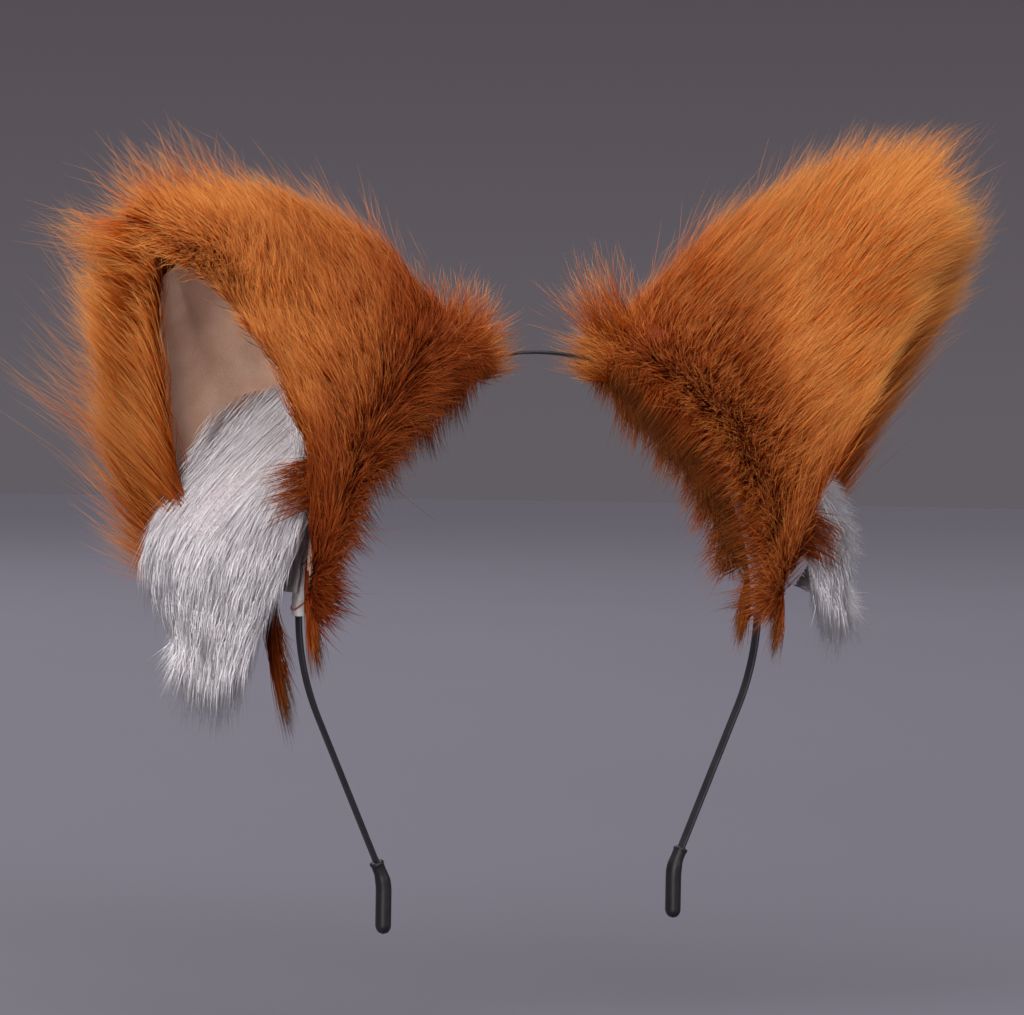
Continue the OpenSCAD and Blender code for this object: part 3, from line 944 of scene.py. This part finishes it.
# The lowest and the highest direction of the wispy lock, and how much longer than 8 mm
# its longest hairs are
CORNER_LOCK = {"left": ([-0.85, -0.1, 0.35], [0.05, 0, 1.0], 12.0),
               "right": ([-0.75, -0.1, 0.5], [-0.3, 0, 1.0], 22.0)}


def corner_strands(rng, side, count):
    """A wispy lock at the ear's inner corner, up and towards the middle of the head, and
    a loose brush of hair round the end of the sleeve, 3 to 15 degrees from the top."""
    s = rng.normal(0, 0.16, count)
    t = 0.16 * rng.random(count) ** 1.5
    roots = net_point(BACKING, s, t)
    lean = rng.random((count, 1))
    low_way, high_way, reach = CORNER_LOCK[side]
    way = unit(np.array(low_way) * (1 - lean) + np.array(high_way) * lean
               + rng.normal(0, 0.14, (count, 3)))
    length = 8 + reach * rng.random((count, 1)) ** 1.5
    ends = roots + way * length
    rises = roots + (ends - roots) * 0.5 + np.array([-0.12, 0, 0.1]) * length
    closing = (np.arange(count) % 5 < 3)[:, None]
    round_turn = rng.uniform(-np.pi, np.pi, count)
    loose = 0.3 + 1.1 * rng.random(count)
    wrap = on_band(np.radians(3 + 12 * rng.random(count) ** 0.6),
                   1.5 + 5.0 * loose * np.cos(round_turn), 6.5 * loose * np.sin(round_turn))
    wrap = wrap + rng.normal(0, 1.6, wrap.shape)
    foot = on_band(np.radians(rng.uniform(16.5, 21, count)), 3.2 * np.cos(round_turn),
                   4.2 * np.sin(round_turn))
    swell = on_band(np.radians(16), 5.5 * np.cos(round_turn), 6.5 * np.sin(round_turn))
    roots = np.where(closing, foot, roots)
    ends = np.where(closing, wrap, ends)
    return roots, np.where(closing, swell, rises), ends


def crossing_strands(rng, side, count):
    """A dark lock off the front panel's free edge that lies across the white tuft."""
    t = {"left": 0.3, "right": 0.17}[side] + 0.12 * rng.random(count)
    roots = net_point(BACKING, -1.0, t)
    across = unit(net_point(BACKING, 1.0, t) - roots)
    reach = (6 + 16 * rng.random((count, 1))) * (1.0 if side == "right" else 0.7)
    ends = (roots + across * reach * 0.6 + np.array([0.85, -0.25, -0.25]) * reach * 0.8
            + rng.normal(0, 1.5, (count, 3)))
    return roots, (roots + ends) / 2 + np.array([0.5, -3.5, 1.0]), ends


for side in ("left", "right"):
    rng = np.random.default_rng(SEEDS[side] + 31)
    for number, (panel, s_edge) in enumerate({"front": -1, "back": 1}.items()):
        strands, s, t = edge_strands(rng, side, s_edge, EDGE_HAIRS)
        lip = hairs(f"{panel}_edge_hair_{side}", side, orange_fur, strands,
                    0.10 + 0.03 * rng.random(EDGE_HAIRS),
                    fur_shade(rng, s, t, side) - 0.04, rng)
        low, high = ((-1.0, -0.02), (0.02, 0.9))[number]
        fringe = hairs(f"{panel}_hem_fringe_{side}", side, orange_fur,
                       hem_strands(rng, low, high, HEM_HAIRS),
                       0.10 + 0.03 * rng.random(HEM_HAIRS),
                       0.15 + rng.normal(0.08, 0.12, HEM_HAIRS), rng)
        for piece in (lip, fringe):
            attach(piece, f"ear_{side}")
            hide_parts(f"fur_{panel}_{side}")
    for name, s, (drop, inwards) in zip(("back", "front"), (1.0, -1.0), HANGING[side]):
        lock = hairs(f"{name}_hanging_lock_{side}", side, orange_fur,
                     hanging_strands(rng, s, drop, inwards, HANGING_HAIRS),
                     0.09 + 0.04 * rng.random(HANGING_HAIRS),
                     rng.normal(0.3, 0.14, HANGING_HAIRS), rng, 3)
        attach(lock, f"ear_{side}")
        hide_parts(f"fur_{name}_{side}")
    stray = hairs(f"stray_hair_{side}", side, orange_fur,
                  stray_strands(rng, side, STRAY_HAIRS), 0.05 + 0.02 * rng.random(STRAY_HAIRS),
                  rng.normal(0.86, 0.1, STRAY_HAIRS), rng, 3)
    corner = hairs(f"corner_lock_{side}", side, orange_fur,
                   corner_strands(rng, side, CORNER_HAIRS),
                   0.06 + 0.03 * rng.random(CORNER_HAIRS),
                   rng.normal(0.56, 0.2, CORNER_HAIRS), rng, 3)
    crossing = hairs(f"crossing_lock_{side}", side, orange_fur,
                     crossing_strands(rng, side, CROSSING_HAIRS),
                     0.07 + 0.03 * rng.random(CROSSING_HAIRS),
                     rng.normal(0.25, 0.15, CROSSING_HAIRS), rng, 3)
    for piece in (stray, corner, crossing):
        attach(piece, f"ear_{side}")
        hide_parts(f"fur_front_{side}", f"fur_back_{side}")


# ---------------------------------------------------------------------------------------
# White tufts. A panel of white long-pile fur in the mouth of each ear, sewn in below the
# velvet, whose hair hangs out over the base: straight down at the front and fanned out to
# the side at the back.

TUFT_HAIRS = 13000
TUFT_TOP = 0.5
TUFT_OUT = np.array([0.8, -0.35, -0.3])
TUFT_FLARE = np.array([8, 3, 1])
# The left tuft hangs lower than the right, whose back half is combed out and up
TUFT_HANG = {"left": np.array([12, 6, -10]), "right": np.array([11, 0, 4])}
TUFT_SHIFT = {"left": np.array([0.0, 0, 0]), "right": np.array([3.0, -4, 6])}


def tuft_face(p, q, depth, hang):
    """(front + back) / 2 + (0.38 p - 0.06) (back - front) + (p + 1) sin(170 q) flare
    + out (5 (1 - p^2) - depth (1 - 0.75 q)) + q^1.6 hang, less at the back, with front and
    back the free edges at 0.5 (1 - q) + 0.02 q; p is -1 to 1 from front to back and q 0 to
    1 downwards. From q 0.45 up it eases on to the velvet, where it is sewn in."""
    p, q = np.broadcast_arrays(np.asarray(p, float), np.asarray(q, float))
    t = TUFT_TOP * (1 - q) + 0.02 * q
    front = net_point(BACKING, -1, t)
    rear = net_point(BACKING, 1, t)
    p, q = p[..., None], q[..., None]
    face = ((front + rear) / 2 + (0.38 * p - 0.06) * (rear - front)
            + (p + 1) * np.sin(np.radians(170) * q) * TUFT_FLARE
            + TUFT_OUT * (5 * (1 - p * p) - depth * (1 - 0.75 * q))
            + q ** 1.6 * hang * (1.15 - 0.5 * smooth(-0.4, 1.0, p)))
    seam_t = np.clip((0.06 + 0.40 * np.abs(p[..., 0]) ** 1.2) * (1 - q[..., 0]), 0.04, 0.9)
    seam = inner_point(0.33, 0.18, 0.88 * p[..., 0], seam_t)
    return seam + (face - seam) * smooth(-0.05, 0.45, q)


white_fur = fur_finish(
    "white_fur",
    [(0.0, "#cfc4c8"), (0.5, "#e6dee1"), (1.0, "#efe8eb")],
    [(0.0, "#e6dee1"), (0.5, "#f9f5f7"), (1.0, "#ffffff")],
    Roughness=0.6, Specular_IOR_Level=0.25)
white_coat = Finish("white_undercoat", Roughness=0.95)
white_coat.weave(white_coat.noise(1500.0, 4.0), "#bfb2b6", "#e6dcdf", 1.0)


def tuft_end(p, q, hang):
    """The tuft's face 0.3 further down, and past its foot 20 mm along a fan that turns from
    straight down at the front to sideways at the back."""
    far = q + 0.3
    down = smooth(-0.5, 0.9, p)[:, None]
    fan = unit(np.array([0.05, -0.08, -1.0]) * (1 - down) + np.array([0.95, 0.1, -0.25]) * down)
    return (tuft_face(p, np.clip(far, 0, 1), -1.0, hang)
            + (9 * smooth(0.1, 1.0, q) + np.maximum(far - 1, 0) * 34)[:, None] * fan)


for side in ("left", "right"):
    rng = np.random.default_rng(SEEDS[side] + 7)
    hang = TUFT_HANG[side]
    p, q = grid(np.linspace(-0.7, 0.96, 54), np.linspace(0.14, 0.6, 36))
    tuft_shape, tuft_faces = slab(tuft_face(p, q, 4.0, hang), tuft_face(p, q, 8.5, hang))
    ground = place_in_ear("tuft_undercoat", side, tuft_shape, tuft_faces, white_coat)
    p = rng.uniform(-1.05, 1, TUFT_HAIRS)
    q = 0.95 * rng.random(TUFT_HAIRS) ** 0.85 - 0.06
    lock_p = (np.floor(p * 8 + 0.5 * np.sin(9 * q)) + 0.5) / 8 + 0.06 * np.sin(31 * q)
    lock_q = (np.floor(q * 8 + 0.4 * np.sin(7 * p)) + 0.5) / 8
    roots = tuft_face(p, np.clip(q, 0, 1), 6.0, hang)
    ends = tuft_end(p, q, hang)
    lock_end = tuft_end(lock_p, lock_q, hang) + 1.5 * np.column_stack(
        [np.sin(17 * lock_p + 23 * lock_q), np.sin(29 * lock_p), np.sin(13 * lock_q + 5 * lock_p)])
    ends = ends + (lock_end - ends) * (0.75 * rng.random((TUFT_HAIRS, 1)) ** 0.5)
    ends = ends + rng.normal(0, 1.3, ends.shape)
    short = 0.55 + 0.45 * smooth(0.0, 0.4, q)[:, None]
    ends = roots + (ends - roots) * (0.72 + 0.45 * rng.random((TUFT_HAIRS, 1))) * short
    span = np.linalg.norm(ends - roots, axis=1, keepdims=True)
    rises = roots + (ends - roots) * 0.45 + unit(TUFT_OUT) * span * 0.22
    ends = ends + smooth(-0.6, 0.8, p)[:, None] * TUFT_SHIFT[side]
    up = unit(tuft_face(p, 0.0, 6.0, hang) - tuft_face(p, 0.15, 6.0, hang))
    creep = up * (9.0 * rng.random(TUFT_HAIRS) ** 2.2 * (1 - smooth(0.0, 0.2, q)))[:, None]
    roots, rises, ends = roots + creep, rises + creep, ends + creep
    tuft = hairs(f"white_tuft_{side}", side, white_fur, (roots, rises, ends),
                 0.09 + 0.04 * rng.random(TUFT_HAIRS), rng.normal(0.6, 0.22, TUFT_HAIRS), rng)
    for piece in (ground, tuft):
        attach(piece, f"ear_{side}")
        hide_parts(f"white_tuft_{side}")
